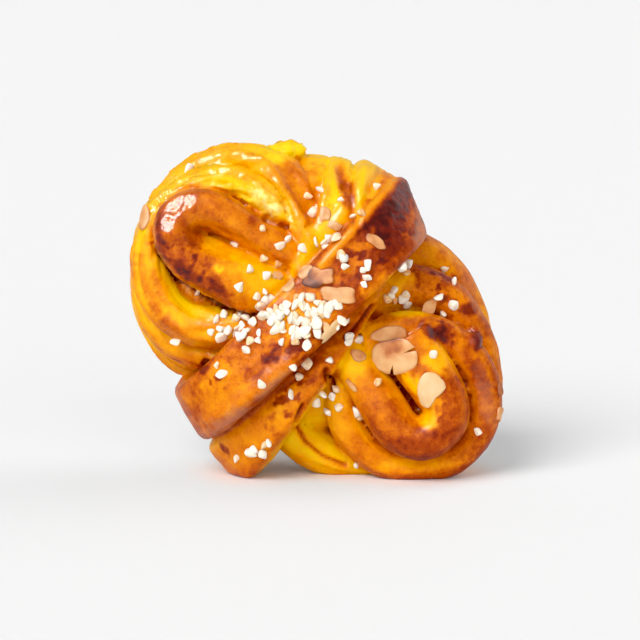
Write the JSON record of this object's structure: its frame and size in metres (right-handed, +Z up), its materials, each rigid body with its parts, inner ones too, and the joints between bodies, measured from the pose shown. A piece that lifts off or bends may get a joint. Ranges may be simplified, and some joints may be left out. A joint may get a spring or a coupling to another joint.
{
  "type": "saffron knot bun",
  "caption": "Baked saffron bun of yellow dough ropes looped into a knot, standing on its edge, browned and strewn with pearl sugar and almond flakes.",
  "frame": {"origin": "on the surface that the bun stands on, under the middle of its box", "axes": "+Z up as the bun stands on its edge, +X to the right across its width, -Y out of its glazed top side and +Y out of its baked base"},
  "size_m": [0.1076, 0.0538, 0.0955],
  "materials": {
    "crust": "egg-washed baked crust, satin, yellow to brown",
    "sugar": "matt white pearl sugar",
    "almond": "toasted almond slice, satin"
  },
  "bodies": {
    "root": {"bun": "crust"}
  },
  "joints": []
}
